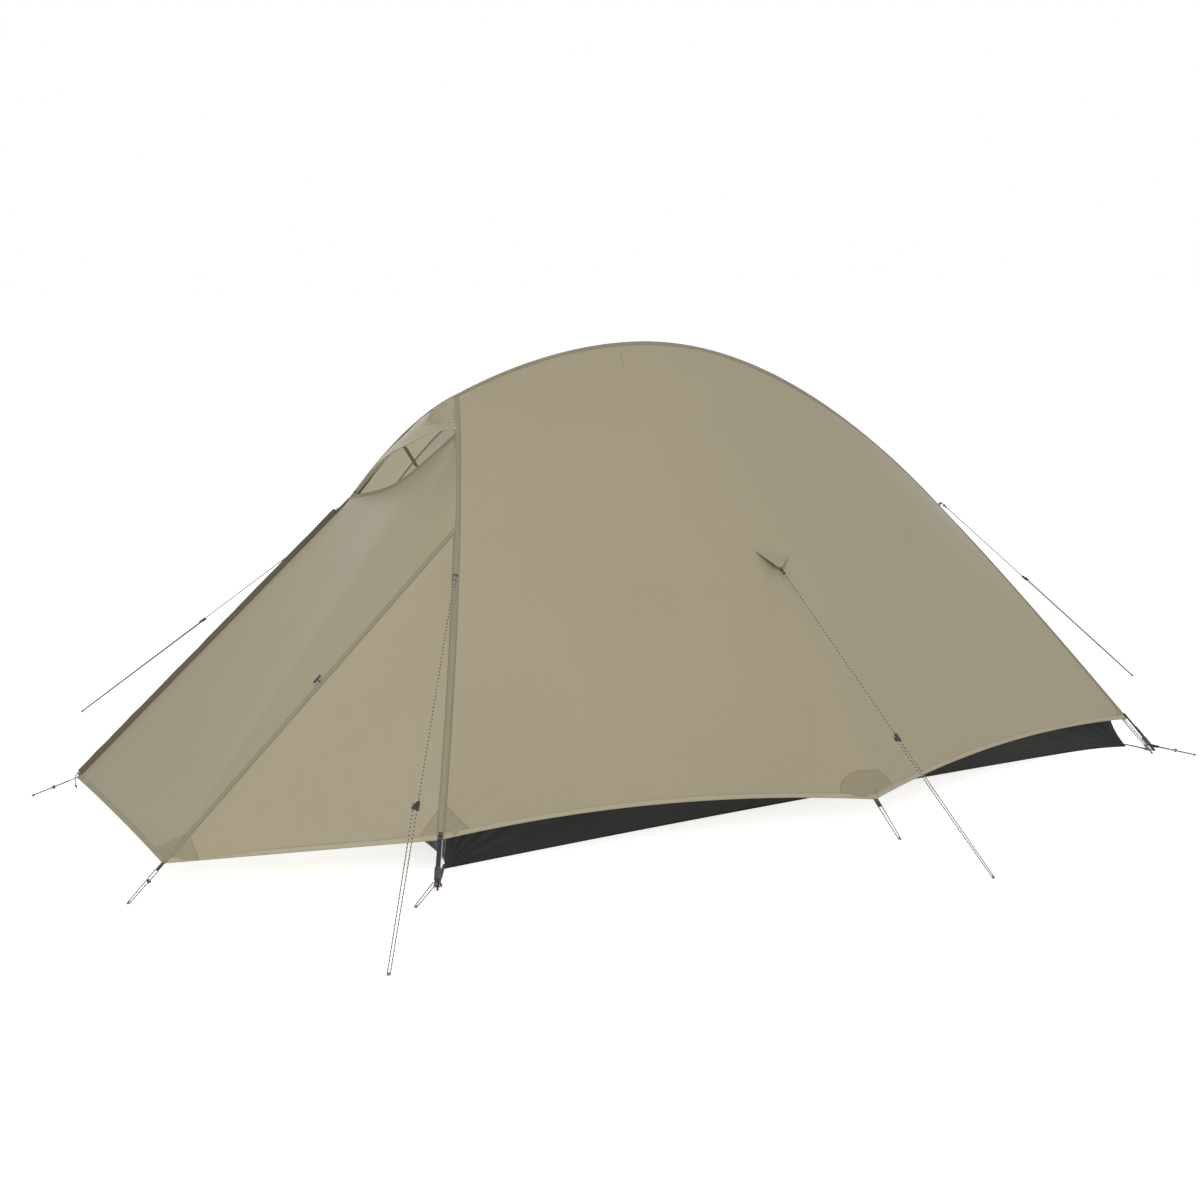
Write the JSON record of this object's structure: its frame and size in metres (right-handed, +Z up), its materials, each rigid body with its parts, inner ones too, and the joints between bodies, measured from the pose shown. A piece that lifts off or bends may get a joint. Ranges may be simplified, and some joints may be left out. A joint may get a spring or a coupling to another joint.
{
  "type": "backpacking tent",
  "caption": "Pitched two-person ridge-pole tent: fly with vestibule, zipped door and propped vent, bathtub inner with mesh walls, hubbed poles, guylines and stake loops.",
  "frame": {"origin": "middle of the floor's underside, on the ground", "axes": "+X along the ridge from the door end to the foot end, +Y across towards the side the zip closes on, +Z up"},
  "size_m": [3.5603, 2.586, 1.1729],
  "materials": {
    "fly_fabric": "matt coated ripstop polyester, khaki",
    "dark_trim_fabric": "matt coated polyester, dark brown",
    "mesh_fabric": "fine knitted mesh, dark grey",
    "floor_fabric": "coated nylon, near black, slight gloss",
    "pole_aluminium": "satin silver anodised tube",
    "tip_aluminium": "red anodised, turned",
    "hub_plastic": "moulded nylon, black",
    "webbing": "woven polyester webbing, black",
    "buckle_plastic": "moulded acetal, black",
    "cord": "braided polyester cord, grey with pale flecks",
    "zip_coil": "coiled nylon teeth on a woven tape, dark",
    "zip_metal": "die-cast, dull metal"
  },
  "bodies": {
    "tent": {"corner_anchor_front_far": "buckle_plastic", "corner_anchor_front_near": "buckle_plastic", "corner_anchor_rear_far": "buckle_plastic", "corner_anchor_rear_near": "buckle_plastic", "door_zip": "zip_coil", "fly_rear": "fly_fabric", "fly_seams": "fly_fabric", "fly_side_far": "fly_fabric", "fly_side_near": "fly_fabric", "front_panel_fixed": "fly_fabric", "guyline_far_front": "cord", "guyline_near_front": "cord", "guyline_near_side": "cord", "guyline_rear": "cord", "hem_stake_tab_far": "webbing", "hem_stake_tab_near": "webbing", "hub_front": "hub_plastic", "hub_rear": "hub_plastic", "inner_door_zip": "zip_coil", "inner_seams": "mesh_fabric", "inner_wall_far": "mesh_fabric", "inner_wall_front": "mesh_fabric", "inner_wall_near": "mesh_fabric", "inner_wall_rear": "mesh_fabric", "pole_leg_front_far": "pole_aluminium", "pole_leg_front_near": "pole_aluminium", "pole_leg_rear_far": "pole_aluminium", "pole_leg_rear_near": "pole_aluminium", "pole_spine": "pole_aluminium", "pole_tip_front_far": "tip_aluminium", "pole_tip_front_near": "tip_aluminium", "pole_tip_rear_far": "tip_aluminium", "pole_tip_rear_near": "tip_aluminium", "side_guy_tab_far": "fly_fabric", "side_guy_tab_near": "fly_fabric", "stake_loop_far_vestibule": "cord", "stake_loop_near_front_corner": "cord", "stake_loop_near_hem": "cord", "stake_loop_near_rear_corner": "cord", "stake_loop_near_vestibule": "cord", "tub_floor": "floor_fabric", "vent_hood": "fly_fabric", "vestibule_side_far": "fly_fabric", "vestibule_side_near": "fly_fabric"},
    "outer_door": {"outer_door": "fly_fabric", "rain_flap": "dark_trim_fabric"},
    "door_zip_slider_top": {"door_zip_slider_top": "zip_metal"},
    "door_zip_slider_bottom": {"door_zip_slider_bottom": "zip_metal"},
    "vent_strut": {"vent_strut": "webbing"},
    "door_toggle": {"door_toggle": "buckle_plastic"},
    "inner_door": {"inner_door": "mesh_fabric"},
    "inner_zip_slider": {"inner_zip_slider": "zip_metal"},
    "buckle_plug_front_near": {"buckle_plug_front_near": "buckle_plastic"},
    "buckle_plug_front_far": {"buckle_plug_front_far": "buckle_plastic"},
    "buckle_plug_rear_near": {"buckle_plug_rear_near": "buckle_plastic"},
    "buckle_plug_rear_far": {"buckle_plug_rear_far": "buckle_plastic"},
    "tensioner_near_front": {"guyline_tensioner_near_front": "buckle_plastic"},
    "tensioner_far_front": {"guyline_tensioner_far_front": "buckle_plastic"},
    "tensioner_near_side": {"guyline_tensioner_near_side": "buckle_plastic"},
    "tensioner_rear": {"guyline_tensioner_rear": "buckle_plastic"}
  },
  "joints": [
    {"name": "outer_door_fold", "type": "hinge", "parent": "tent", "child": "outer_door", "pos_m": [-1.65054, -0.39, 0.05559], "axis": [0.6071, 0.5712, 0.5525], "range_deg": [0, 150]},
    {"name": "door_zip_bottom_slide", "type": "slide", "parent": "tent", "child": "door_zip_slider_bottom", "axis": [0.7386, -0.052, 0.6722], "range_m": [0, 0.44]},
    {"name": "door_zip_top_slide", "type": "slide", "parent": "tent", "child": "door_zip_slider_top", "axis": [-0.7386, 0.052, -0.6722], "range_m": [0, 0.44]},
    {"name": "vent_strut_tilt", "type": "hinge", "parent": "tent", "child": "vent_strut", "pos_m": [-0.87425, -0.02116, 0.92371], "axis": [0, -0.9389, -0.3442], "range_deg": [0, 70]},
    {"name": "door_toggle_swing", "type": "hinge", "parent": "tent", "child": "door_toggle", "pos_m": [-1.25011, -0.36177, 0.42137], "axis": [-0.7386, -0.052, -0.6722], "range_deg": [-40, 40], "stiffness_Nm_per_rad": 0.002},
    {"name": "inner_door_fold", "type": "hinge", "parent": "tent", "child": "inner_door", "pos_m": [-1.0274, 0, 0.14942], "axis": [0, 1, 0], "range_deg": [0, 68]},
    {"name": "inner_zip_slide", "type": "slide", "parent": "tent", "child": "inner_zip_slider", "axis": [0.3245, 0.3668, 0.8718], "range_m": [0, 0.46]},
    {"name": "buckle_front_near_slide", "type": "slide", "parent": "tent", "child": "buckle_plug_front_near", "axis": [0.2403, 0.3026, 0.9223], "range_m": [0, 0.015]},
    {"name": "buckle_front_far_slide", "type": "slide", "parent": "tent", "child": "buckle_plug_front_far", "axis": [0.2403, -0.3026, 0.9223], "range_m": [0, 0.015]},
    {"name": "buckle_rear_near_slide", "type": "slide", "parent": "tent", "child": "buckle_plug_rear_near", "axis": [-0.1527, 0.7463, 0.6478], "range_m": [0, 0.015]},
    {"name": "buckle_rear_far_slide", "type": "slide", "parent": "tent", "child": "buckle_plug_rear_far", "axis": [-0.1527, -0.7463, 0.6478], "range_m": [0, 0.015]},
    {"name": "tensioner_near_front_slide", "type": "slide", "parent": "tent", "child": "tensioner_near_front", "axis": [-0.4497, -0.6502, -0.6124], "range_m": [0, 0.3]},
    {"name": "tensioner_far_front_slide", "type": "slide", "parent": "tent", "child": "tensioner_far_front", "axis": [-0.413, 0.726, -0.5498], "range_m": [0, 0.3]},
    {"name": "tensioner_near_side_slide", "type": "slide", "parent": "tent", "child": "tensioner_near_side", "axis": [0.0612, -0.787, -0.6139], "range_m": [0, 0.3]},
    {"name": "tensioner_rear_slide", "type": "slide", "parent": "tent", "child": "tensioner_rear", "axis": [0.8003, 0, -0.5995], "range_m": [0, 0.3]}
  ]
}
